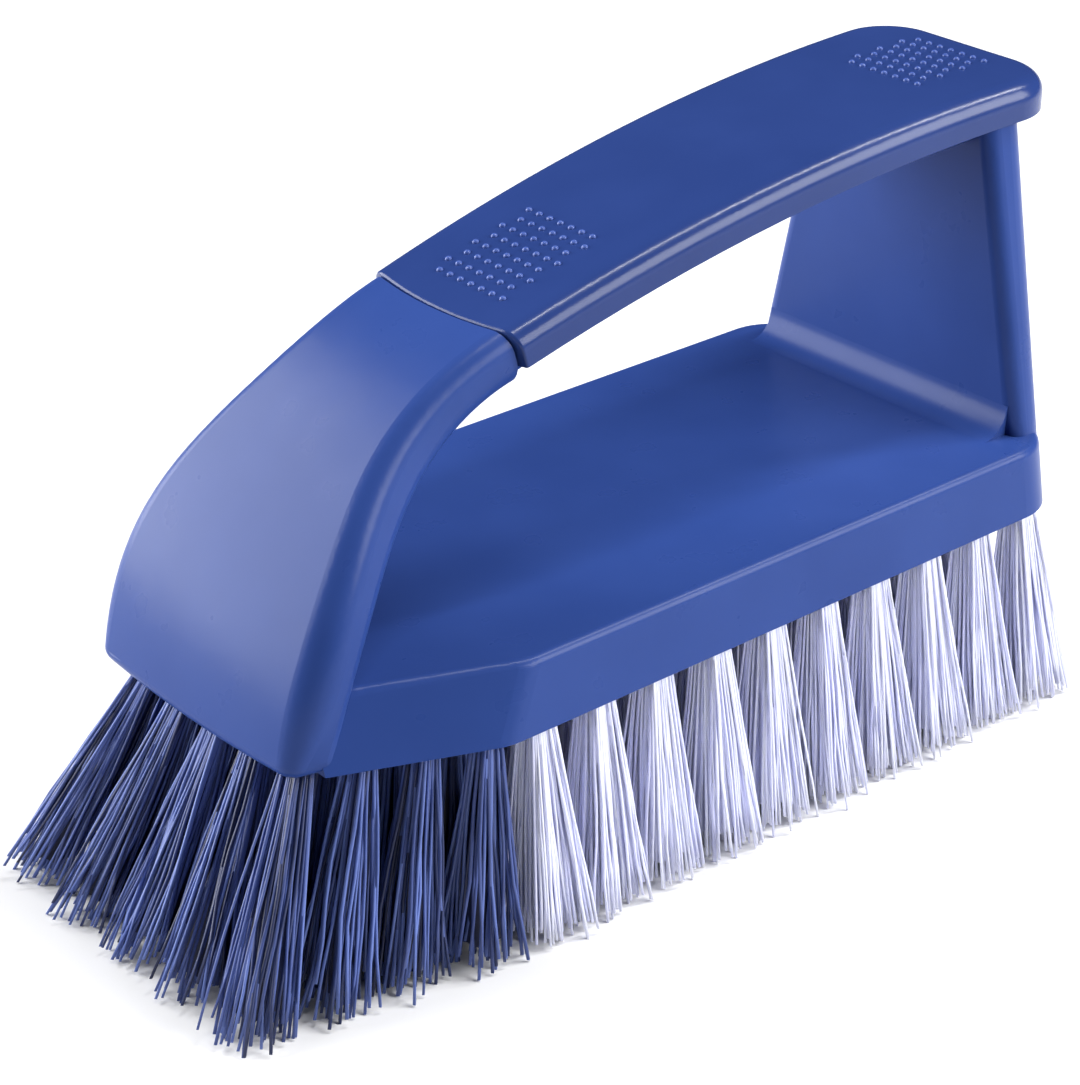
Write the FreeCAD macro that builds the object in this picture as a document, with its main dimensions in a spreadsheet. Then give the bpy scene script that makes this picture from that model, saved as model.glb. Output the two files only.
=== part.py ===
import FreeCAD, Part
import math
import os
import re
import Sketcher

# Scrub brush with an arched, iron-style handle.
# Millimetres, +Z up. The origin is under the middle of the block, on the plane of the bristle tips.
# The nose points along -X and the rear post stands at +X.

SIZES = {
    # Block
    "bristle_height": 35.0,
    "block_height": 11.0,
    "block_rear": 74.0,
    "block_width": 71.0,
    "deck_width": 67.0,
    "kink_position": 46.0,
    "taper_run": 25.0,
    "taper_rise": 10.2,
    "taper_lean": 20.0,
    "rear_corner_radius": 10.5,
    "kink_radius": 8.0,
    "deck_edge_radius": 1.5,
    # Nose
    "nose_radius": 64.0,
    "nose_width": 51.5,
    "nose_top_width": 31.6,
    "nose_foot_thickness": 8.5,
    "nose_waist_thickness": 9.0,
    "nose_tuck": 0.15,
    "nose_foot_radius": 3,
    "nose_chin_radius": 2,
    "nose_corner_radius": 4.5,
    "nose_inner_radius": 2.5,
    "nose_bow": 1.2,
    "nose_top_bow": 0.1,
    # Handle
    "handle_radius": 400.0,
    "handle_top": 67.2,
    "handle_apex": 80.0,
    "handle_thickness": 9.6,
    "seam_position": 31.0,
    "seam_radius": 75.0,
    "seam_gap": 0.4,
    "seam_edge_radius": 0.5,
    "cap_front_width": 33.8,
    "cap_rear_width": 41.0,
    "cap_rear": 84.0,
    "cap_thickness": 5.8,
    "cap_end_radius": 10.5,
    "cap_edge_radius": 3.2,
    "cap_wall": 2.4,
    "cap_clearance": 0.2,
    "beam_edge_radius": 5.0,
    "peg_diameter": 5.0,
    "peg_depth": 3.0,
    "peg_spacing": 60.0,
    # Post
    "post_front": 66.3,
    "post_thickness": 7.6,
    "post_top_thickness": 9.2,
    "post_foot_width": 59.6,
    "post_top_width": 38.6,
    "post_front_radius": 2.6,
    "post_rear_radius": 4.6,
    "foot_fillet": 5.0,
    # Tufts
    "dark_hole_diameter": 5.0,
    "white_hole_diameter": 6.4,
    "tuft_hole_depth": 7.0,
    "tuft_fit": 0.15,
    "dark_tip_diameter": 9.0,
    "white_tip_diameter": 11.2,
    "dark_rows": 4,
    "dark_front_count": 5,
    "dark_front_position": 69.0,
    "dark_row_pitch": 7.6,
    "dark_pitch": 8.6,
    "white_rows": 7,
    "white_row_pitch": 10.3,
    "white_front_position": 38.0,
    "white_pitch": 11.55,
    "white_count": 10,
    "front_lean": 27.0,
    "fan_lean": 13.5,
    "rear_lean": 5.0,
    "side_lean": 3.5,
    # Anchors
    "anchor_thickness": 0.4,
    "anchor_height": 2.0,
    "anchor_depth": 5.8,
}

TUFT_LOBES = 5
TUFT_VALLEY = 0.7

doc = FreeCAD.newDocument("ScrubBrush")
sheet = doc.addObject("Spreadsheet::Sheet", "Size")
for row, (name, number) in enumerate(SIZES.items(), start=1):
    sheet.set(f"A{row}", name)
    sheet.set(f"B{row}", str(number))
    sheet.setAlias(f"B{row}", name)
doc.recompute()


def linked(text):
    """Return the expression with every size name pointing at its cell."""
    return re.sub(r"[a-z]\w*", lambda word: f"Size.{word[0]}" if word[0] in SIZES else word[0], text)


def value(text):
    """Return the present number of an expression in size names."""
    return float(sheet.evalExpression(linked(text)))


def bind(item, prop, text):
    """Tie a property to an expression in size names."""
    item.setExpression(prop, linked(text))


# Places that several pieces share, as expressions in the sizes above

DECK = "(bristle_height + block_height)"
APEX_HEIGHT = "(bristle_height + handle_top)"
HANDLE_CENTRE = f"({APEX_HEIGHT} - handle_radius)"


def arch(x, drop="0"):
    """Return the height of the handle's arch at x, a radial drop below its top."""
    return f"({HANDLE_CENTRE} + sqrt((handle_radius - {drop})^2 - (handle_apex - ({x}))^2))"


def origin_plane(body, role):
    return next(item for item in body.Origin.OriginFeatures if item.Role == role)


def add_body(name):
    return doc.addObject("PartDesign::Body", name)


def add_outline(body, name, role, points, height="0"):
    """Add a closed sketch; each point is (x, y) or (x, y, radius) when an arc leads to the next point."""
    sketch = body.newObject("Sketcher::SketchObject", name)
    sketch.AttachmentSupport = [(origin_plane(body, role), "")]
    sketch.MapMode = "FlatFace"
    bind(sketch, "AttachmentOffset.Base.z", height)
    spots = [FreeCAD.Vector(value(point[0]), value(point[1]), 0) for point in points]
    count = len(points)
    for index, point in enumerate(points):
        start, end = spots[index], spots[(index + 1) % count]
        if len(point) == 3:
            sketch.addGeometry(bulged_arc(start, end, value(point[2])), False)
        else:
            sketch.addGeometry(Part.LineSegment(start, end), False)
    for index, point in enumerate(points):
        start_side = first_end(point)
        end_side = 3 - first_end(points[index - 1])
        before = (index - 1) % count
        sketch.addConstraint(Sketcher.Constraint("Coincident", before, end_side, index, start_side))
        for kind, text in (("DistanceX", point[0]), ("DistanceY", point[1])):
            number = sketch.addConstraint(Sketcher.Constraint(kind, -1, 1, index, start_side, value(text)))
            bind(sketch, f"Constraints[{number}]", text)
        if len(point) == 3:
            size = abs(value(point[2]))
            number = sketch.addConstraint(Sketcher.Constraint("Radius", index, size))
            bind(sketch, f"Constraints[{number}]", f"abs({point[2]})")
    return sketch


def first_end(point):
    """Return which end of its curve a segment starts from: 2 for a clockwise arc, 1 for the rest."""
    clockwise = len(point) == 3 and value(point[2]) < 0
    return 2 if clockwise else 1


def bulged_arc(start, end, radius):
    """Return the short arc from start to end; a negative radius bulges to the left, clockwise."""
    chord = end - start
    middle = (start + end) * 0.5
    left = FreeCAD.Vector(-chord.y, chord.x, 0).normalize()
    inset = math.sqrt(radius ** 2 - (chord.Length / 2) ** 2)
    centre = middle + left * math.copysign(inset, radius)
    circle = Part.Circle(centre, FreeCAD.Vector(0, 0, 1), abs(radius))
    first, last = (start, end) if radius > 0 else (end, start)
    return Part.ArcOfCircle(circle, circle.parameter(first), circle.parameter(last))


def add_pad(body, name, sketch, length, midplane=False):
    pad = body.newObject("PartDesign::Pad", name)
    pad.Profile = sketch
    pad.SideType = "Symmetric" if midplane else "One side"
    bind(pad, "Length", length)
    body.Tip = pad
    return pad


def upright_edges(shape, x, y):
    """Return the names of the rising edges whose lower end is at (x, y) or (x, -y)."""
    names = []
    for index, edge in enumerate(shape.Edges, start=1):
        low, *_, high = sorted((edge.valueAt(end) for end in edge.ParameterRange), key=lambda spot: spot.z)
        rising = high.z - low.z > 1e-3
        if rising and math.hypot(low.x - x, abs(low.y) - y) < 1e-3:
            names.append(f"Edge{index}")
    return names


def add_fillet(body, name, base, edges, radius):
    fillet = body.newObject("PartDesign::Fillet", name)
    fillet.Base = (base, edges)
    bind(fillet, "Radius", radius)
    body.Tip = fillet
    doc.recompute()
    return fillet


def combine(kind, name, *items):
    """Add a boolean of two objects or, for a fuse, of several."""
    result = doc.addObject(kind, name)
    if kind == "Part::MultiFuse":
        result.Shapes = list(items)
        result.Refine = True
    else:
        result.Base, result.Tool = items
    doc.recompute()
    return result


def add_shape(name, shape):
    item = doc.addObject("Part::Feature", name)
    item.Shape = shape
    return item


# Block: a bar with drafted sides, its front cut to a taper whose faces lean back more than the sides

FRONT = "(-kink_position - taper_run)"
TAPER_SLOPE = "(taper_rise / taper_run)"


def cut_taper(body, name, base, side):
    """Cut one leaning front face; the sketch reaches past the kink and past the front."""
    def on_line(x):
        return (x, f"{side} * (block_width / 2 + {TAPER_SLOPE} * ({x} + kink_position))")

    spare = "taper_run"
    front, rear = f"({FRONT} - {spare})", f"({spare} - kink_position)"
    outer = f"{side} * (block_width / 2 + 2 * taper_rise)"
    sketch = add_outline(body, f"{name}_outline", "XY_Plane", [
        on_line(front), on_line(rear), (rear, outer), (front, outer),
    ], "bristle_height")
    pocket = body.newObject("PartDesign::Pocket", name)
    pocket.Profile = sketch
    pocket.Reversed = True
    bind(pocket, "Length", "block_height")
    bind(pocket, "TaperAngle", "taper_lean")
    body.Tip = pocket
    doc.recompute()
    if pocket.Shape.Volume >= base.Shape.Volume:
        raise RuntimeError(f"{name} cuts nothing")
    return pocket


def make_block():
    body = add_body("block_form")
    profile = add_outline(body, "block_profile", "YZ_Plane", [
        ("-block_width / 2", "bristle_height"),
        ("block_width / 2", "bristle_height"),
        ("deck_width / 2", DECK),
        ("-deck_width / 2", DECK),
    ], FRONT)
    bar = add_pad(body, "block_bar", profile, f"block_rear - {FRONT}")
    doc.recompute()
    half = value("block_width / 2")
    corners = upright_edges(bar.Shape, value("block_rear"), half)
    rounded = add_fillet(body, "block_rear_corners", bar, corners, "rear_corner_radius")
    near = cut_taper(body, "near_taper", rounded, -1)
    far = cut_taper(body, "far_taper", near, 1)
    bends = upright_edges(far.Shape, value("-kink_position"), half)
    bent = add_fillet(body, "block_kinks", far, bends, "kink_radius")
    deck = value(DECK)
    rim = []
    for index, edge in enumerate(bent.Shape.Edges, start=1):
        level = abs(edge.BoundBox.ZMin - deck) < 1e-4 and abs(edge.BoundBox.ZMax - deck) < 1e-4
        behind_nose = edge.BoundBox.XMax > value(FRONT) + 1
        if level and behind_nose:
            rim.append(f"Edge{index}")
    add_fillet(body, "block_deck_edge", bent, rim, "deck_edge_radius")
    return body


# Nose: rounded sections fan out round an axis across the brush, and meet the handle's arch at the seam

def nose_section(half_width, slant, thickness, bow, corner, inner):
    """Return a closed smooth section in (depth, across) with a bowed outer face and slanted sides."""
    def spot(depth, across):
        return FreeCAD.Vector(depth, across, 0)

    def mirrored(point):
        return spot(point.x, -point.y)

    lean = math.atan(slant)
    along = spot(math.cos(lean), math.sin(lean))
    inward = spot(math.sin(lean), -math.cos(lean))
    tip = spot(0, half_width)
    bow_radius = (half_width ** 2 + bow ** 2) / (2 * bow)
    bow_centre = spot(bow_radius - bow, 0)
    start = tip + inward * corner - bow_centre
    slide = start.dot(along)
    reach = -slide - math.sqrt(slide ** 2 - start.dot(start) + (bow_radius - corner) ** 2)
    corner_centre = tip + inward * corner + along * reach
    outward = (corner_centre - bow_centre).normalize()
    outer_end = bow_centre + outward * bow_radius
    outer_side = corner_centre - inward * corner
    outer_middle = corner_centre + (outward - inward).normalize() * corner
    inner_run = inner / math.tan(math.pi / 4 - lean / 2)
    inner_tip = spot(thickness, half_width + slant * thickness)
    inner_centre = spot(thickness - inner, inner_tip.y - inner_run)
    inner_side = inner_tip - along * inner_run
    inner_middle = inner_centre + (inner_tip - inner_centre).normalize() * inner
    inner_end = spot(thickness, inner_centre.y)
    curves = [
        Part.Arc(outer_end, spot(-bow, 0), mirrored(outer_end)),
        Part.Arc(mirrored(outer_end), mirrored(outer_middle), mirrored(outer_side)),
        Part.LineSegment(mirrored(outer_side), mirrored(inner_side)),
        Part.Arc(mirrored(inner_side), mirrored(inner_middle), mirrored(inner_end)),
        Part.LineSegment(mirrored(inner_end), inner_end),
        Part.Arc(inner_end, inner_middle, inner_side),
        Part.LineSegment(inner_side, outer_side),
        Part.Arc(outer_side, outer_middle, outer_end),
    ]
    return Part.Wire([curve.toShape() for curve in curves])


def smooth_step(low, high, number):
    share = min(max((number - low) / (high - low), 0.0), 1.0)
    return share * share * (3 - 2 * share)


def nose_axis():
    """Return the nose arc's centre in (x, z), on the line from the seam to the handle's centre."""
    seam = FreeCAD.Vector(value("-seam_position"), 0, value(arch("-seam_position")))
    handle = FreeCAD.Vector(value("handle_apex"), 0, value(HANDLE_CENTRE))
    return seam + (handle - seam).normalize() * value("nose_radius")


def make_seam(name, gap):
    """Return a drum square to the handle; its front is the bowed seam, set back by a gap."""
    lean = "asin((handle_apex + seam_position) / handle_radius)"
    drum = doc.addObject("Part::Cylinder", name)
    drum.Placement.Rotation = FreeCAD.Rotation(FreeCAD.Vector(0, 1, 0), -1)
    bind(drum, "Radius", f"seam_radius - {gap}")
    bind(drum, "Height", "2 * handle_top")
    bind(drum, "Placement.Rotation.Angle", f"-{lean}")
    bind(drum, "Placement.Base.x", f"seam_radius * cos({lean}) + handle_top * sin({lean}) - seam_position")
    bind(drum, "Placement.Base.z",
         f"{arch('-seam_position')} + seam_radius * sin({lean}) - handle_top * cos({lean})")
    return drum


def round_edges(name, form, edges, radius):
    """Round numbered edges of a form."""
    rounded = doc.addObject("Part::Fillet", name)
    rounded.Base = form
    size = value(radius)
    rounded.Edges = [(index, size, size) for index in edges]
    doc.recompute()
    return rounded


def foot_edges(shape):
    """Return the numbers of the edges in the plane of the block's underside."""
    floor = value("bristle_height")
    return [index for index, edge in enumerate(shape.Edges, start=1)
            if all(abs(spot.z - floor) < 1e-3 for spot in edge.discretize(5))]


def make_nose():
    """Return the nose: its foot is flush with the block's taper, and its top is trimmed at the seam."""
    flare = 12.0
    narrowing = (22.0, 64.0)
    waist = (8.0, 50.0)
    steps = 6
    centre = nose_axis()
    radius = value("nose_radius")
    floor = value("bristle_height")
    foot_angle = math.degrees(math.asin((floor - centre.z) / radius))
    seam_angle = math.degrees(math.asin((value(arch("-seam_position")) - centre.z) / radius))
    seam_bow = value("seam_radius - sqrt(seam_radius^2 - (cap_front_width / 2)^2)")
    end_angle = seam_angle + math.degrees(seam_bow / radius)
    foot_front = centre.x - radius * math.cos(math.radians(foot_angle))
    foot_half = value("block_width / 2") + value(TAPER_SLOPE) * (foot_front + value("kink_position"))
    wires = []
    for step in range(steps + 1):
        angle = foot_angle + (end_angle - foot_angle) * step / steps
        rise = smooth_step(foot_angle, foot_angle + flare, angle)
        share = smooth_step(*narrowing, angle)
        slant = value(TAPER_SLOPE) * (1 - rise) - value("nose_tuck") * rise * (1 - share)
        half = foot_half + rise * (value("nose_width / 2") - foot_half)
        half += share * value("(nose_top_width - nose_width) / 2")
        thin = smooth_step(*waist, angle)
        top_share = smooth_step(waist[1], seam_angle, angle)
        thick = value("nose_foot_thickness") + thin * value("nose_waist_thickness - nose_foot_thickness")
        thick += top_share * value("handle_thickness - nose_waist_thickness")
        corner = value("nose_foot_radius") + rise * value("nose_corner_radius - nose_foot_radius")
        corner += share * value("cap_edge_radius - nose_corner_radius")
        bow = value("nose_bow") + share * value("nose_top_bow - nose_bow")
        inner = value("nose_inner_radius") + top_share * value("beam_edge_radius - nose_inner_radius")
        section = nose_section(half, slant, thick, bow, corner, inner)
        turn = angle * rise
        outward = FreeCAD.Vector(-math.cos(math.radians(angle)), 0, math.sin(math.radians(angle)))
        front = centre + outward * radius
        section.Placement = FreeCAD.Placement(front, FreeCAD.Rotation(FreeCAD.Vector(0, 1, 0), turn))
        wires.append(section)
    nose = add_shape("nose_loft", Part.makeLoft(wires, True, False))
    form = combine("Part::Cut", "nose_form", nose, make_seam("nose_seam", "0"))
    return round_edges("nose_chin", form, foot_edges(form.Shape), "nose_chin_radius")


# Handle: a strip under the arch, trimmed to a widening plan with a rounded rear end

def cap_half_width(x, inset):
    return (f"((cap_front_width + (cap_rear_width - cap_front_width) * ({x} + seam_position)"
            f" / (cap_rear + seam_position)) / 2 - {inset})")


def make_handle_form(name, front, rear, inset, top, bottom, end_radius):
    strip = add_body(f"{name}_strip")
    lean = f"(handle_apex - ({front}))"
    front_low = f"({front} + ({bottom} - {top}) * {lean} / handle_radius)"
    side = add_outline(strip, f"{name}_side", "XZ_Plane", [
        (front, arch(front, top), f"-(handle_radius - {top})"),
        (rear, arch(rear, top)),
        (rear, arch(rear, bottom), f"handle_radius - {bottom}"),
        (front_low, arch(front_low, bottom)),
    ])
    add_pad(strip, f"{name}_across", side, "cap_rear_width * 2", midplane=True)
    plan = add_body(f"{name}_plan")
    outline = add_outline(plan, f"{name}_outline", "XY_Plane", [
        (front, f"-{cap_half_width(front, inset)}"),
        (rear, f"-{cap_half_width(rear, inset)}"),
        (rear, cap_half_width(rear, inset)),
        (front, cap_half_width(front, inset)),
    ], "bristle_height")
    tall = add_pad(plan, f"{name}_tall", outline, "handle_top * 2")
    doc.recompute()
    corners = upright_edges(tall.Shape, value(rear), value(cap_half_width(rear, inset)))
    add_fillet(plan, f"{name}_end", tall, corners, end_radius)
    return combine("Part::Common", f"{name}_form", strip, plan)


def arch_edges(shape, drop):
    """Return the numbers of the edges that border the arch at a radial drop below its top."""
    centre = FreeCAD.Vector(value("handle_apex"), 0, value(HANDLE_CENTRE))
    radius = value(f"handle_radius - {drop}")
    found = []
    for index, edge in enumerate(shape.Edges, start=1):
        spots = edge.discretize(5)
        on_arch = all(abs(math.hypot(p.x - centre.x, p.z - centre.z) - radius) < 1e-3 for p in spots)
        crosswise = abs(edge.BoundBox.YLength - edge.Length) < 1e-6
        if on_arch and not crosswise:
            found.append(index)
    return found


def make_pegs(name, diameter, depth):
    """Return upright pegs under the cap's top wall, spaced along the handle."""
    pegs = []
    for sign in (-1, 1):
        place = f"((cap_rear - seam_position) / 2 + {sign} * peg_spacing / 2)"
        peg = doc.addObject("Part::Cylinder", f"{name}_{len(pegs) + 1}")
        bind(peg, "Radius", f"{diameter} / 2")
        bind(peg, "Height", f"{depth} + cap_wall / 2")
        bind(peg, "Placement.Base.x", place)
        bind(peg, "Placement.Base.z", f"{arch(place, 'cap_wall')} - {depth}")
        pegs.append(peg)
    return pegs


def seam_edges(shape, drum):
    """Return the numbers of the edges on the seam drum, apart from the one underneath."""
    axis = drum.Placement.Rotation.multVec(FreeCAD.Vector(0, 0, 1))
    radius = value("seam_radius - seam_gap")
    under = value(arch("-seam_position", "cap_thickness"))
    found = []
    for index, edge in enumerate(shape.Edges, start=1):
        spots = edge.discretize(5)
        on_drum = all(abs((spot - drum.Placement.Base).cross(axis).Length - radius) < 1e-3 for spot in spots)
        above = edge.BoundBox.ZMax > under + value("cap_edge_radius / 2")
        if on_drum and above:
            found.append(index)
    return found


def make_cap():
    outer = make_handle_form("cap_outer", "(-seam_position - cap_wall)", "cap_rear", "0", "0",
                             "cap_thickness", "cap_end_radius")
    rounded = round_edges("cap_rounded", outer, arch_edges(outer.Shape, "0"), "cap_edge_radius")
    drum = make_seam("cap_seam", "seam_gap")
    trimmed = combine("Part::Common", "cap_trimmed", rounded, drum)
    eased = round_edges("cap_eased", trimmed, seam_edges(trimmed.Shape, drum), "seam_edge_radius")
    cavity = make_handle_form("cap_cavity", "(-seam_position - 2 * cap_wall)", "(cap_rear - cap_wall)",
                              "cap_wall", "cap_wall", "(cap_thickness * 2)", "(cap_end_radius - cap_wall)")
    shell = combine("Part::Cut", "cap_shell", eased, cavity)
    pegs = make_pegs("cap_peg", "peg_diameter", "peg_depth")
    return combine("Part::MultiFuse", "handle_cap", shell, *pegs)


def make_beam():
    inset = "(cap_wall + cap_clearance)"
    bar = make_handle_form("beam", "(-seam_position - 2 * cap_wall)", f"(cap_rear - {inset})", inset, inset,
                           "handle_thickness", f"(cap_end_radius - {inset})")
    under = arch_edges(bar.Shape, "handle_thickness")
    beam = round_edges("beam_rounded", bar, under, "beam_edge_radius")
    sockets = make_pegs("peg_socket", "(peg_diameter + 2 * cap_clearance)", "(peg_depth + cap_clearance)")
    drilled = combine("Part::Cut", "beam_drilled_1", beam, sockets[0])
    return combine("Part::Cut", "beam_drilled_2", drilled, sockets[1])


# Post: rounded sections from the deck up into the beam, with a concave foot in front

def post_section(half_width, thickness, height):
    front = value("post_front")
    rear = front + thickness
    near, far = value("post_front_radius"), value("post_rear_radius")
    tilt = math.sqrt(0.5)

    def spot(x, y):
        return FreeCAD.Vector(x, y, height)

    def corner(x, x_sign, y_sign, radius):
        """Return a corner arc from the end face round to the side."""
        centre_x, centre_y = x - x_sign * radius, y_sign * (half_width - radius)
        middle = spot(centre_x + x_sign * radius * tilt, centre_y + y_sign * radius * tilt)
        return Part.Arc(spot(x, centre_y), middle, spot(centre_x, y_sign * half_width))

    arcs = [
        corner(front, -1, -1, near),
        corner(rear, 1, -1, far),
        corner(rear, 1, 1, far),
        corner(front, -1, 1, near),
    ]
    sides = [
        Part.LineSegment(arcs[0].EndPoint, arcs[1].EndPoint),
        Part.LineSegment(arcs[1].StartPoint, arcs[2].StartPoint),
        Part.LineSegment(arcs[2].EndPoint, arcs[3].EndPoint),
        Part.LineSegment(arcs[3].StartPoint, arcs[0].StartPoint),
    ]
    order = [arcs[0], sides[0], arcs[1], sides[1], arcs[2], sides[2], arcs[3], sides[3]]
    return Part.Wire([curve.toShape() for curve in order])


def make_post():
    sunk = value("deck_edge_radius") * 1.5
    low = value(DECK)
    high = value(arch("post_front", "(cap_thickness + cap_clearance)"))
    foot, top = value("post_foot_width / 2"), value("post_top_width / 2")
    spread = (foot - top) / (high - low) * sunk
    wires = [
        post_section(foot + spread, value("post_thickness"), low - sunk),
        post_section(top, value("post_top_thickness"), high),
    ]
    return add_shape("post_form", Part.makeLoft(wires, True, True))


def make_post_foot():
    """Return the concave foot between the deck and the front of the post."""
    body = add_body("post_foot")
    toe = "(post_front - foot_fillet)"
    inside = "(post_front + post_thickness / 2)"
    sunk = f"({DECK} - deck_edge_radius)"
    profile = add_outline(body, "post_foot_profile", "XZ_Plane", [
        (toe, DECK, "foot_fillet"),
        ("post_front", f"({DECK} + foot_fillet)"),
        (inside, f"({DECK} + foot_fillet)"),
        (inside, sunk),
        (toe, sunk),
    ])
    add_pad(body, "post_foot_across", profile, "post_foot_width - 2 * post_front_radius", midplane=True)
    doc.recompute()
    return body


# Tufts: cross rows of dark ones in the nose, lengthwise rows of white ones behind them

def dark_rows():
    rows = []
    for index in range(int(value("dark_rows"))):
        count = int(value("dark_front_count")) + index
        x = -value("dark_front_position") + index * value("dark_row_pitch")
        rows.append([(x, (number - (count - 1) / 2) * value("dark_pitch")) for number in range(count)])
    return rows


def white_rows():
    rows = []
    row_count = int(value("white_rows"))
    for index in range(row_count):
        y = (index - (row_count - 1) / 2) * value("white_row_pitch")
        staggered = index % 2
        first = -value("white_front_position") + staggered * value("white_pitch") / 2
        count = int(value("white_count")) - staggered
        rows.append([(first + number * value("white_pitch"), y) for number in range(count)])
    return rows


def lean_of(x, y):
    """Return the tuft's slopes along X and Y: tufts lean outwards, and fan out most at the front."""
    front, rear = -value("dark_front_position"), value("block_rear - rear_corner_radius")
    start = -value("white_front_position")
    edge = value("white_row_pitch * (white_rows - 1) / 2")
    across = value("side_lean") * y / edge
    if x < start:
        share = (start - x) / (start - front)
        along = -value("front_lean") * share
        across += value("fan_lean") * share ** 2 * y / value("dark_pitch * (dark_front_count - 1) / 2")
    else:
        along = value("rear_lean") * ((x - start) / (rear - start)) ** 2
    return math.tan(math.radians(along)), math.tan(math.radians(across))


def ring(x, y, z, radius):
    """Return a lobed ring of points: the filaments of a tuft stand in strands, with valleys between them."""
    turn = math.pi / TUFT_LOBES
    spots = []
    for number in range(2 * TUFT_LOBES):
        angle = (number + 0.5) * turn
        reach = radius * (TUFT_VALLEY if number % 2 else 1.0)
        spots.append(FreeCAD.Vector(x + reach * math.cos(angle), y + reach * math.sin(angle), z))
    return spots


def flat_face(spots):
    return Part.Face(Part.makePolygon(spots + spots[:1]))


def tuft(kind, x, y):
    """Return one tuft: a straight root in its hole, then a flare to the trimmed tips."""
    mouth = value("bristle_height")
    root = value("tuft_hole_depth - tuft_fit")
    slope_x, slope_y = lean_of(x, y)
    thin, wide = value(f"{kind}_hole_diameter / 2 - tuft_fit"), value(f"{kind}_tip_diameter / 2")
    levels = [(mouth + root, thin), (mouth, thin), (0.0, wide)]
    rings = []
    for level, radius in levels:
        drop = mouth - level
        rings.append(ring(x + slope_x * drop, y + slope_y * drop, level, radius))
    faces = [flat_face(rings[0]), flat_face(rings[-1])]
    for upper, lower in zip(rings, rings[1:]):
        for side in range(2 * TUFT_LOBES):
            faces.append(flat_face([upper[side - 1], upper[side], lower[side], lower[side - 1]]))
    shell = Part.Shell(faces)
    shell.sewShape()
    return Part.makeSolid(shell)


def tuft_hole(kind, x, y):
    """Return the leaning drill that makes room for a whole root; its slanted ends get a spare length."""
    slope_x, slope_y = lean_of(x, y)
    axis = FreeCAD.Vector(-slope_x, -slope_y, 1)
    radius = value(f"{kind}_hole_diameter / 2")
    spare = radius * math.hypot(slope_x, slope_y) + value("tuft_fit")
    start = FreeCAD.Vector(x, y, value("bristle_height")) - axis * (spare / axis.Length)
    return Part.makeCylinder(radius, value("tuft_hole_depth") * axis.Length + 2 * spare, start, axis)


def anchor(kind, x, y):
    """Return the flat strip that wedges across the hole in the fold of the tuft."""
    slope_x, slope_y = lean_of(x, y)
    thickness, height = value("anchor_thickness"), value("anchor_height")
    length = 2 * math.sqrt(value(f"{kind}_hole_diameter / 2 - tuft_fit / 2") ** 2 - (thickness / 2) ** 2)
    strip = Part.makeBox(thickness, length, height, FreeCAD.Vector(-thickness / 2, -length / 2, -height / 2))
    axis = FreeCAD.Vector(-slope_x, -slope_y, 1)
    place = FreeCAD.Vector(x, y, value("bristle_height")) + axis * (value("anchor_depth") - height / 2)
    strip.Placement = FreeCAD.Placement(place, FreeCAD.Rotation(FreeCAD.Vector(0, 0, 1), axis))
    return strip


def make_rows(kind, rows):
    """Return a tuft node and an anchor node for each row, with the anchors let into the tufts."""
    nodes = []
    for number, row in enumerate(rows, start=1):
        strips = [anchor(kind, x, y) for x, y in row]
        tufts = [tuft(kind, x, y).cut(strip) for (x, y), strip in zip(row, strips)]
        nodes.append(add_shape(f"{kind}_tufts_row_{number}", Part.makeCompound(tufts)))
        nodes.append(add_shape(f"{kind}_anchors_row_{number}", Part.makeCompound(strips)))
    return nodes


def make_brush_body(rows):
    parts = [make_block(), make_nose(), make_beam(), make_post(), make_post_foot()]
    solid = combine("Part::MultiFuse", "body_solid", *parts)
    drills = [tuft_hole(kind, x, y) for kind in rows for row in rows[kind] for x, y in row]
    holes = add_shape("tuft_holes", Part.makeCompound(drills))
    return combine("Part::Cut", "brush_body", solid, holes)


def check_and_write(nodes):
    """Stop on any failed object, then write one file for each node."""
    doc.recompute()
    for item in doc.Objects:
        if "Invalid" in item.State or "Error" in item.State:
            raise RuntimeError(f"{item.Name} failed: {item.State}")
    for node in nodes:
        if node.Shape.isNull() or not node.Shape.isValid():
            raise RuntimeError(f"{node.Label} has no valid shape")
    os.makedirs("parts", exist_ok=True)
    for node in nodes:
        node.Shape.exportStep(f"parts/{node.Label}.step")
        print(node.Label, len(node.Shape.Solids), "solids", round(node.Shape.Volume), "mm3")


tuft_rows = {"dark": dark_rows(), "white": white_rows()}
nodes = [make_brush_body(tuft_rows), make_cap()]
for kind, rows in tuft_rows.items():
    nodes += make_rows(kind, rows)
check_and_write(nodes)
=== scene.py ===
import math

import bmesh
import bpy
import numpy as np
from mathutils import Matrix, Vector
from mathutils.bvhtree import BVHTree


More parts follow.
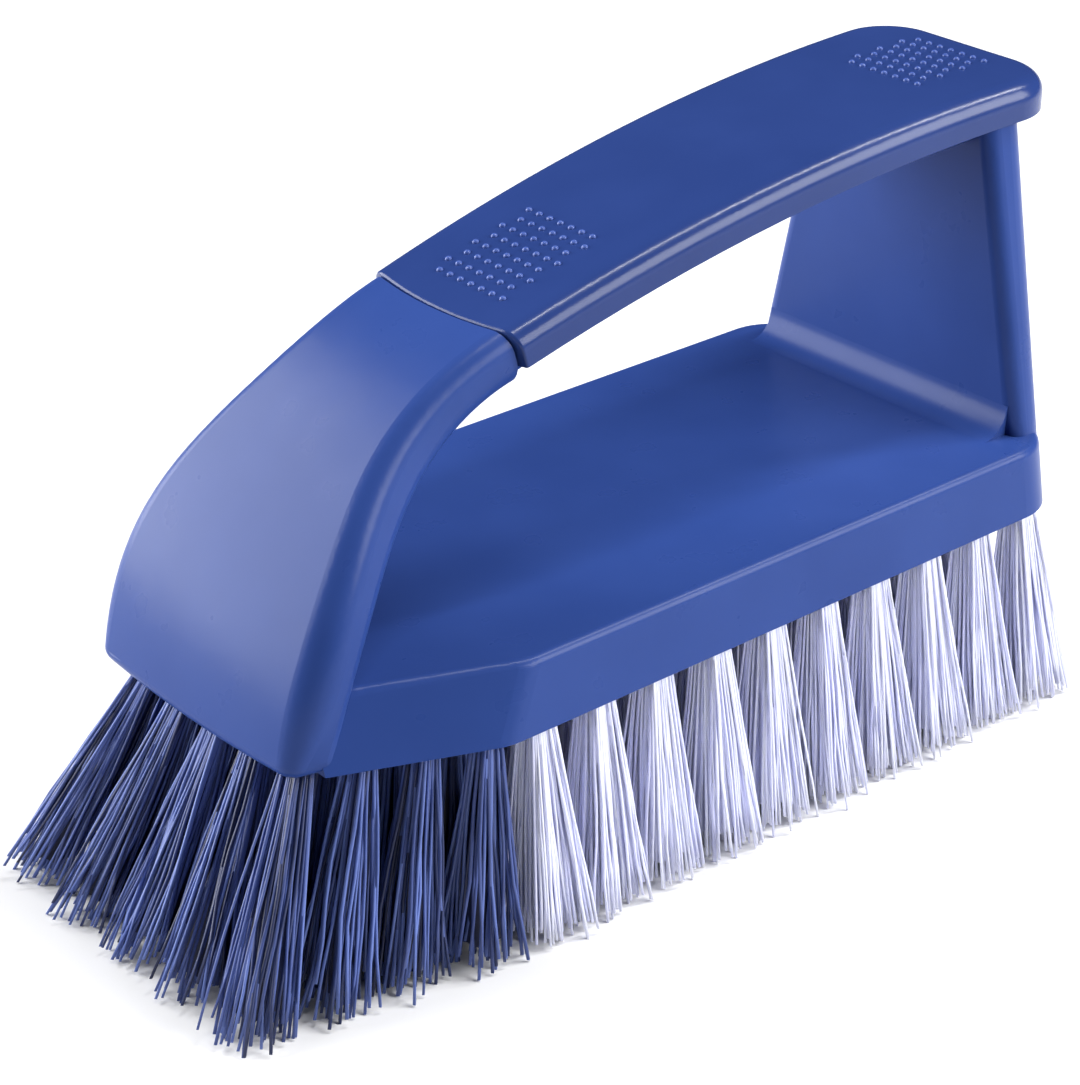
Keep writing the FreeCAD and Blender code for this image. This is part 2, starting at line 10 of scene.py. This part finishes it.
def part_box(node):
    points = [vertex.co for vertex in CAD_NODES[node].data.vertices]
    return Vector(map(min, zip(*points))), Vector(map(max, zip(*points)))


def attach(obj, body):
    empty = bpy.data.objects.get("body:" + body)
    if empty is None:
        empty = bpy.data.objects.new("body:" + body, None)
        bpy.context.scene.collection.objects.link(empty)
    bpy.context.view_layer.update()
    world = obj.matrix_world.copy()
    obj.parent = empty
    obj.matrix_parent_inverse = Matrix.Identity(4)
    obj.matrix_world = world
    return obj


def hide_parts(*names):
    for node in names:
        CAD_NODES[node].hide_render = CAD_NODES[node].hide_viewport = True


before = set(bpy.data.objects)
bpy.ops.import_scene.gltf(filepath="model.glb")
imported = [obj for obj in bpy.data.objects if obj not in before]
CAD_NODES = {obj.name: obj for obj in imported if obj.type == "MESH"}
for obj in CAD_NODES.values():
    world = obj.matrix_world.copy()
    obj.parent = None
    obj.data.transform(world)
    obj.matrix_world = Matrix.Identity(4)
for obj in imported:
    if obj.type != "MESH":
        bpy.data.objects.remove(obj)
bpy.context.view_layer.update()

# Scrub brush: finishes for the mouldings, loose filaments for the tufts and raised grip dots on the cap.
# Metres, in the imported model's frame: the nose points along -X and the bristle tips stand on Z = 0.

MM = 0.001
BODY_LOW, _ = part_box("brush_body")
CAP_LOW, CAP_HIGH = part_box("handle_cap")

# Camera: the photograph's viewing angle
CAMERA_AZIMUTH = math.radians(40.51)
CAMERA_ELEVATION = math.radians(27.53)
CAMERA_DISTANCE = 0.458
CAMERA_TARGET = Vector((-0.0103, 0.0, 0.0413))
CAMERA_LENS_MM = 97.85
CAMERA_NEAR = 0.01

# Light panels and floor
LIGHT_TARGET = Vector((0, 0, 0.05))
LIGHTS = {
    "left_softbox": {
        "direction": (-0.55, 0.75, 0.38), "distance": 1.0, "width": 1.0, "height": 0.9, "watts": 29,
    },
    "right_softbox": {
        "direction": (0.52, -0.72, 0.46), "distance": 1.0, "width": 0.7, "height": 0.55, "watts": 15.5,
    },
    "top_strip": {
        "direction": (0.45, -0.12, 0.885), "distance": 1.2, "width": 0.08, "height": 1.0, "watts": 13,
    },
}
WORLD_COLOUR = (0.95, 0.97, 1.0, 1.0)
WORLD_STRENGTH = 0.03
FLOOR_HALF = 4.0
FLOOR_NOISE = 3.0
FLOOR_STOPS = [(0.3, (0.67, 0.67, 0.675)), (0.7, (0.69, 0.69, 0.695))]
FLOOR_ROUGHNESS = 0.8

# Noise: how fine its detail goes, and the middle of its signal
PLAIN_DETAIL = 3.0
GRAIN_DETAIL = 2.0
STEEL_DETAIL = 4.0
NOISE_SPAN = (0.3, 0.7)

# Plastics: linear colours, roughness from low to high, and grain as noise cells in a metre
BODY_FINISH = {
    "dark": (0.0195, 0.045, 0.185), "light": (0.0222, 0.050, 0.200),
    "roughness": (0.27, 0.32), "grain": 2200.0, "gloss": 0.12,
}
CAP_FINISH = {
    "dark": (0.0150, 0.033, 0.136), "light": (0.0172, 0.037, 0.149),
    "roughness": (0.19, 0.24), "grain": 2600.0, "gloss": 0.2,
}
# Dot colour is painted lighter than the cap's: a painted highlight on each dome.
DOT_PAINTED_HIGHLIGHT = {
    "dark": (0.048, 0.083, 0.280), "light": (0.060, 0.100, 0.315),
    "roughness": (0.2, 0.26), "grain": 3000.0, "gloss": 0.2,
}
CLOUD_NOISE = 45.0
CLOUD_SPAN = (0.35, 0.65)
GLOSS_NOISE = 160.0
GRAIN_DEPTH = 0.01 * MM
GRAIN_STRENGTH = 0.15

# Steel of the anchors
STEEL_NOISE = 5200.0
STEEL_STOPS = [(0.3, (0.42, 0.42, 0.43)), (0.7, (0.62, 0.62, 0.63))]
STEEL_ROUGHNESS = (0.28, 0.45)

# Filaments: what the two kinds share
FILAMENT_SEED = 7
FILAMENT_SIDES = 4
FILAMENT_STEPS = 7
FILAMENT_THICKNESS = (0.85, 1.15)
WELD_DISTANCE = 0.001 * MM
LEVEL_REACH = 0.05 * MM
ROOT_INSET = 2 * MM
ROOT_FILL = 0.9
RIM_SHARE = 0.5
RIM_JITTER = 0.4
RIM_REACH = (0.9, 1.02)
INNER_REACH = 0.92
SPLAY = (0.9, 1.08)
STRAY_SPLAY = 1.25
SHORT_SHARE = 0.5
CRIMP_CYCLES = (0.7, 1.6)
CORE_FILL = 0.92
CORE_LEVELS = (0.0, 0.5, 0.9)
GLOW_RADIUS = (1.0, 1.0, 1.0)
GLOW_DEPTH = 1.0 * MM
STREAK_NOISE = 900.0
STREAK_GRAIN = 2600.0
STREAK_DEPTH = 0.03 * MM
STREAK_STRENGTH = 0.3

# Filaments: what sets the two kinds apart; stops give the colours of strands by their shade
# Dark tufts: a core shade of 0.0 paints each tuft's middle near-black, painted shade in the gaps between
# strands.
DARK_FILAMENT = {
    "count": 84, "radius": 0.31 * MM, "spread": 1.26, "strays": 0.3, "drift": 0.9 * MM,
    "uneven": 4.0 * MM, "crimp": 0.7 * MM, "core_tone_and_painted_shade": 0.0,
    "stops": [(0.0, (0.010, 0.016, 0.058)), (0.4, (0.060, 0.095, 0.300)), (1.0, (0.130, 0.192, 0.500))],
    "roughness": (0.32, 0.5), "glow": 0.0,
}
WHITE_FILAMENT = {
    "count": 160, "radius": 0.25 * MM, "spread": 1.26, "strays": 0.15, "drift": 0.5 * MM,
    "uneven": 2.6 * MM, "crimp": 0.4 * MM, "core_tone_and_painted_shade": 0.4,
    "stops": [(0.0, (0.69, 0.71, 1.0)), (0.5, (0.75, 0.77, 1.0)), (1.0, (0.84, 0.86, 1.0))],
    "roughness": (0.35, 0.55), "glow": 0.35,
}

# Grip dots: each field is a stretch behind the cap's front end
DOT_RADIUS = 0.55 * MM
DOT_HEIGHT = 0.42 * MM
DOT_SEGMENTS = 10
DOT_RINGS = 6
DOT_PITCH_X = 2.6 * MM
DOT_PITCH_Y = 2.4 * MM
DOT_FIELD_WIDTH = 17 * MM
DOT_RAY_START = 10 * MM
FRONT_FIELD = (6.5 * MM, 26 * MM)
REAR_FIELD = (92 * MM, 108 * MM)

UP = Vector((0, 0, 1))


# Materials

def start_material(name):
    """Return a new material with its node tree and its shader."""
    material = bpy.data.materials.new(name)
    material.use_nodes = True
    tree = material.node_tree
    return material, tree, tree.nodes["Principled BSDF"]


def add_noise(tree, scale, detail=PLAIN_DETAIL):
    place = tree.nodes.new("ShaderNodeTexCoord")
    noise = tree.nodes.new("ShaderNodeTexNoise")
    noise.inputs["Scale"].default_value = scale
    noise.inputs["Detail"].default_value = detail
    tree.links.new(place.outputs["Object"], noise.inputs["Vector"])
    return noise.outputs["Fac"]


def add_ramp(tree, source, stops):
    """Colour a grey signal by (position, colour) stops."""
    ramp = tree.nodes.new("ShaderNodeValToRGB")
    points = ramp.color_ramp.elements
    while len(points) < len(stops):
        points.new(0.5)
    for point, (position, colour) in zip(points, stops):
        point.position = position
        point.color = (*colour, 1.0)
    tree.links.new(source, ramp.inputs["Fac"])
    return ramp.outputs["Color"]


def add_range(tree, source, low, high):
    """Stretch the middle of a noise signal to run from low to high."""
    spread = tree.nodes.new("ShaderNodeMapRange")
    spread.inputs["From Min"].default_value = NOISE_SPAN[0]
    spread.inputs["From Max"].default_value = NOISE_SPAN[1]
    spread.inputs["To Min"].default_value = low
    spread.inputs["To Max"].default_value = high
    tree.links.new(source, spread.inputs["Value"])
    return spread.outputs["Result"]


def add_bump(tree, shader, source, distance, strength):
    bump = tree.nodes.new("ShaderNodeBump")
    bump.inputs["Strength"].default_value = strength
    bump.inputs["Distance"].default_value = distance
    tree.links.new(source, bump.inputs["Height"])
    tree.links.new(bump.outputs["Normal"], shader.inputs["Normal"])


def moulded_plastic(name, finish):
    """Satin polypropylene: cloudy colour, uneven gloss and the fine grain of the mould."""
    material, tree, shader = start_material(name)
    stops = list(zip(CLOUD_SPAN, (finish["dark"], finish["light"])))
    tree.links.new(add_ramp(tree, add_noise(tree, CLOUD_NOISE), stops), shader.inputs["Base Color"])
    roughness = add_range(tree, add_noise(tree, GLOSS_NOISE), *finish["roughness"])
    tree.links.new(roughness, shader.inputs["Roughness"])
    add_bump(tree, shader, add_noise(tree, finish["grain"], GRAIN_DETAIL), GRAIN_DEPTH, GRAIN_STRENGTH)
    shader.inputs["Specular IOR Level"].default_value = finish["gloss"]
    return material


def filament_plastic(name, kind):
    """Extruded filament: each strand has its own shade, with uneven gloss and a fine grain."""
    material, tree, shader = start_material(name)
    strand = tree.nodes.new("ShaderNodeAttribute")
    strand.attribute_name = "shade"
    tree.links.new(add_ramp(tree, strand.outputs["Fac"], kind["stops"]), shader.inputs["Base Color"])
    shader.inputs["Subsurface Weight"].default_value = kind["glow"]
    shader.inputs["Subsurface Radius"].default_value = GLOW_RADIUS
    shader.inputs["Subsurface Scale"].default_value = GLOW_DEPTH
    roughness = add_range(tree, add_noise(tree, STREAK_NOISE), *kind["roughness"])
    tree.links.new(roughness, shader.inputs["Roughness"])
    add_bump(tree, shader, add_noise(tree, STREAK_GRAIN, GRAIN_DETAIL), STREAK_DEPTH, STREAK_STRENGTH)
    return material


def anchor_steel():
    """Flat steel strip with a fine mottle."""
    material, tree, shader = start_material("anchor_steel")
    mottle = add_noise(tree, STEEL_NOISE, STEEL_DETAIL)
    tree.links.new(add_ramp(tree, mottle, STEEL_STOPS), shader.inputs["Base Color"])
    tree.links.new(add_range(tree, mottle, *STEEL_ROUGHNESS), shader.inputs["Roughness"])
    shader.inputs["Metallic"].default_value = 1.0
    return material


def dress(piece, material):
    piece.data.materials.clear()
    piece.data.materials.append(material)


def add_object(name, data):
    item = bpy.data.objects.new(name, data)
    bpy.context.scene.collection.objects.link(item)
    return item


# Tufts

def islands_of(mesh):
    """Return the groups of joined vertices."""
    waiting = set(mesh.verts)
    groups = []
    while waiting:
        front = [waiting.pop()]
        group = []
        while front:
            vertex = front.pop()
            group.append(vertex)
            for edge in vertex.link_edges:
                other = edge.other_vert(vertex)
                if other in waiting:
                    waiting.remove(other)
                    front.append(other)
        groups.append(group)
    return groups


def tufts_of(node):
    """Return the (mouth ring, tip ring) of each tuft solid along a row, with points in order around it."""
    mesh = bmesh.new()
    mesh.from_mesh(CAD_NODES[node].data)
    bmesh.ops.remove_doubles(mesh, verts=mesh.verts, dist=WELD_DISTANCE)
    found = []
    for group in islands_of(mesh):
        rings = []
        for level in (BODY_LOW.z, 0.0):
            spots = np.array([vertex.co for vertex in group if abs(vertex.co.z - level) < LEVEL_REACH])
            arms = spots - spots.mean(0)
            rings.append(spots[np.argsort(np.arctan2(arms[:, 1], arms[:, 0]))])
        found.append(rings)
    mesh.free()
    return sorted(found, key=lambda rings: tuple(rings[0].mean(0)))


def arms_at(ring, turn):
    """Return the arms from a ring's centre to its line, at shares of the way around."""
    place = (turn % 1.0) * len(ring)
    first = place.astype(int) % len(ring)
    share = (place % 1.0)[:, None]
    return ring[first] * (1 - share) + ring[(first + 1) % len(ring)] * share - ring.mean(0)


def filament_paths(tuft, kind, rng):
    """Return the centre lines of a tuft's filaments as an array (filament, step, xyz)."""
    mouth, tip = tuft
    count = kind["count"]
    rim = int(count * RIM_SHARE)
    inner = count - rim
    rim_turn = (np.arange(rim) + rng.uniform(-RIM_JITTER, RIM_JITTER, rim)) / rim
    turn = np.concatenate([rim_turn, rng.uniform(0, 1, inner)])
    rim_reach = rng.uniform(*RIM_REACH, rim)
    inner_reach = INNER_REACH * np.sqrt(rng.uniform(0, 1, inner))
    reach = np.concatenate([rim_reach, inner_reach])
    start = mouth.mean(0) + ROOT_FILL * reach[:, None] * arms_at(mouth, turn)
    start[:, 2] += ROOT_INSET
    splay = reach * rng.uniform(*SPLAY, count) * kind["spread"]
    splay[rng.uniform(0, 1, count) < kind["strays"]] *= STRAY_SPLAY
    end = tip.mean(0) + splay[:, None] * arms_at(tip, turn)
    end[:, :2] += rng.normal(0, kind["drift"], (count, 2))
    end[:, 2] = np.abs(rng.normal(0, SHORT_SHARE, count)) * kind["uneven"]
    along = np.linspace(0, 1, FILAMENT_STEPS)
    paths = start[:, None] + (end - start)[:, None] * along[:, None]
    cycles = rng.uniform(*CRIMP_CYCLES, count)[:, None]
    phase = rng.uniform(0, 1, count)[:, None]
    wave = np.sin(2 * np.pi * (cycles * along + phase)) * kind["crimp"] * along
    wave_turn = rng.uniform(0, 2 * np.pi, count)[:, None]
    paths[:, :, 0] += wave * np.cos(wave_turn)
    paths[:, :, 1] += wave * np.sin(wave_turn)
    return paths


def tube_faces(rings, sides):
    """Return the faces of a closed tube, by the numbers of its points."""
    step, side = np.meshgrid(np.arange(rings - 1), np.arange(sides), indexing="ij")
    following = (side + 1) % sides
    lower, upper = step * sides, (step + 1) * sides
    quads = np.stack([lower + side, upper + side, upper + following, lower + following], -1).reshape(-1, 4)
    first_ring = np.arange(sides)
    last_ring = (rings - 1) * sides + first_ring
    return quads.tolist() + [first_ring.tolist(), last_ring[::-1].tolist()]


def core_points(tuft):
    """Return the points of the close-packed filaments in the middle of a tuft, ring by ring."""
    mouth, tip = tuft
    rings = []
    for share in CORE_LEVELS:
        ring = mouth + (tip - mouth) * share
        rings.append(ring.mean(0) + CORE_FILL * (ring - ring.mean(0)))
    return np.concatenate(rings)


def filament_row(name, node, kind, rng):
    """Build one row's filaments as thin tubes, each with its own shade, around the tufts' cores."""
    tufts = tufts_of(node)
    paths = np.concatenate([filament_paths(tuft, kind, rng) for tuft in tufts])
    corner = 2 * np.pi * np.arange(FILAMENT_SIDES) / FILAMENT_SIDES
    ring = kind["radius"] * np.stack([np.cos(corner), np.sin(corner), 0 * corner], 1)
    size = rng.uniform(*FILAMENT_THICKNESS, len(paths))
    points = (paths[:, :, None, :] + size[:, None, None, None] * ring).reshape(len(paths), -1, 3)
    tubes = [(tube, FILAMENT_STEPS, shade) for tube, shade in zip(points, rng.uniform(0, 1, len(paths)))]
    # The cores take their kind's core shade: on the dark tufts near-black, painted shade between the
    # strands.
    tubes += [(core_points(tuft), len(CORE_LEVELS), kind["core_tone_and_painted_shade"]) for tuft in tufts]
    spots, faces, shades = [], [], []
    for tube, rings, shade in tubes:
        first = len(spots)
        faces += [[first + number for number in face] for face in tube_faces(rings, len(tube) // rings)]
        spots += tube.tolist()
        shades += [shade] * len(tube)
    mesh = bpy.data.meshes.new(name)
    mesh.from_pydata(spots, [], faces)
    mesh.shade_smooth()
    mesh.attributes.new("shade", "FLOAT", "POINT").data.foreach_set("value", shades)
    piece = add_object(name, mesh)
    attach(piece, "root")
    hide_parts(node)
    return piece


def make_filaments():
    rng = np.random.default_rng(FILAMENT_SEED)
    kinds = {
        "dark": (DARK_FILAMENT, filament_plastic("dark_filament", DARK_FILAMENT)),
        "white": (WHITE_FILAMENT, filament_plastic("white_filament", WHITE_FILAMENT)),
    }
    for node in sorted(CAD_NODES):
        colour, group, *_ = node.split("_") + [""]
        if group == "tufts":
            kind, material = kinds[colour]
            piece = filament_row(node.replace("tufts", "filaments"), node, kind, rng)
            dress(piece, material)


# Grip dots

def dot_spots(field, top):
    """Return (place, normal) for staggered dots on the cap's top, a stretch behind its front edge."""
    spots = []
    columns = int((field[1] - field[0]) / DOT_PITCH_X) + 1
    rows = int(DOT_FIELD_WIDTH / DOT_PITCH_Y)
    for column in range(columns):
        x = CAP_LOW.x + field[0] + column * DOT_PITCH_X
        shift = DOT_PITCH_Y / 2 * (column % 2)
        for row in range(rows):
            y = (row - (rows - 1) / 2) * DOT_PITCH_Y + shift - DOT_PITCH_Y / 4
            place, normal, *_ = top.ray_cast(Vector((x, y, CAP_HIGH.z + DOT_RAY_START)), -UP)
            spots.append((place, normal))
    return spots


def make_dots(name, field, material):
    """Build a field of low domes that sit on the cap."""
    top = BVHTree.FromObject(CAD_NODES["handle_cap"], bpy.context.evaluated_depsgraph_get())
    mesh = bmesh.new()
    for place, normal in dot_spots(field, top):
        dome = bmesh.ops.create_uvsphere(
            mesh, u_segments=DOT_SEGMENTS, v_segments=DOT_RINGS, radius=DOT_RADIUS,
        )["verts"]
        bmesh.ops.scale(mesh, vec=(1, 1, DOT_HEIGHT / DOT_RADIUS), verts=dome)
        turn = UP.rotation_difference(normal).to_matrix().to_4x4()
        bmesh.ops.transform(mesh, matrix=turn, verts=dome)
        bmesh.ops.translate(mesh, vec=place, verts=dome)
    data = bpy.data.meshes.new(name)
    mesh.to_mesh(data)
    mesh.free()
    data.shade_smooth()
    piece = add_object(name, data)
    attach(piece, "root")
    dress(piece, material)


# Stage

def add_light(name, direction, distance, width, height, watts):
    """Add a soft light panel that faces the brush from a direction."""
    data = bpy.data.lights.new(name, "AREA")
    data.shape = "RECTANGLE"
    data.size = width
    data.size_y = height
    data.energy = watts
    light = add_object(name, data)
    aim = Vector(direction).normalized()
    light.location = LIGHT_TARGET + aim * distance
    light.rotation_euler = aim.to_track_quat("Z", "Y").to_euler()


def make_floor():
    mesh = bpy.data.meshes.new("floor")
    half = FLOOR_HALF
    corners = [(-half, -half, 0), (half, -half, 0), (half, half, 0), (-half, half, 0)]
    mesh.from_pydata(corners, [], [(0, 1, 2, 3)])
    floor = add_object("floor", mesh)
    material, tree, shader = start_material("pale_floor")
    colour = add_ramp(tree, add_noise(tree, FLOOR_NOISE), FLOOR_STOPS)
    tree.links.new(colour, shader.inputs["Base Color"])
    shader.inputs["Roughness"].default_value = FLOOR_ROUGHNESS
    dress(floor, material)


def make_stage():
    make_floor()
    world = bpy.data.worlds.new("studio")
    bpy.context.scene.world = world
    world.use_nodes = True
    sky = world.node_tree.nodes["Background"]
    sky.inputs["Color"].default_value = WORLD_COLOUR
    sky.inputs["Strength"].default_value = WORLD_STRENGTH
    for name, panel in LIGHTS.items():
        add_light(name, **panel)


def make_camera():
    ahead = Vector((
        math.sin(CAMERA_AZIMUTH) * math.cos(CAMERA_ELEVATION),
        math.cos(CAMERA_AZIMUTH) * math.cos(CAMERA_ELEVATION),
        -math.sin(CAMERA_ELEVATION),
    ))
    data = bpy.data.cameras.new("camera")
    data.lens = CAMERA_LENS_MM
    data.clip_start = CAMERA_NEAR
    camera = add_object("camera", data)
    camera.location = CAMERA_TARGET - ahead * CAMERA_DISTANCE
    camera.rotation_euler = ahead.to_track_quat("-Z", "Y").to_euler()
    bpy.context.scene.camera = camera


def main():
    dress(CAD_NODES["brush_body"], moulded_plastic("body_plastic", BODY_FINISH))
    dress(CAD_NODES["handle_cap"], moulded_plastic("cap_plastic", CAP_FINISH))
    steel = anchor_steel()
    for name, node in CAD_NODES.items():
        if "anchors" in name:
            dress(node, steel)
    make_filaments()
    # The dots' lighter colour is a painted highlight.
    dot_plastic_painted_highlight = moulded_plastic("dot_plastic_painted_highlight", DOT_PAINTED_HIGHLIGHT)
    make_dots("grip_dots_front", FRONT_FIELD, dot_plastic_painted_highlight)
    make_dots("grip_dots_rear", REAR_FIELD, dot_plastic_painted_highlight)
    make_stage()
    make_camera()
    bpy.context.scene.view_settings.view_transform = "Standard"


main()
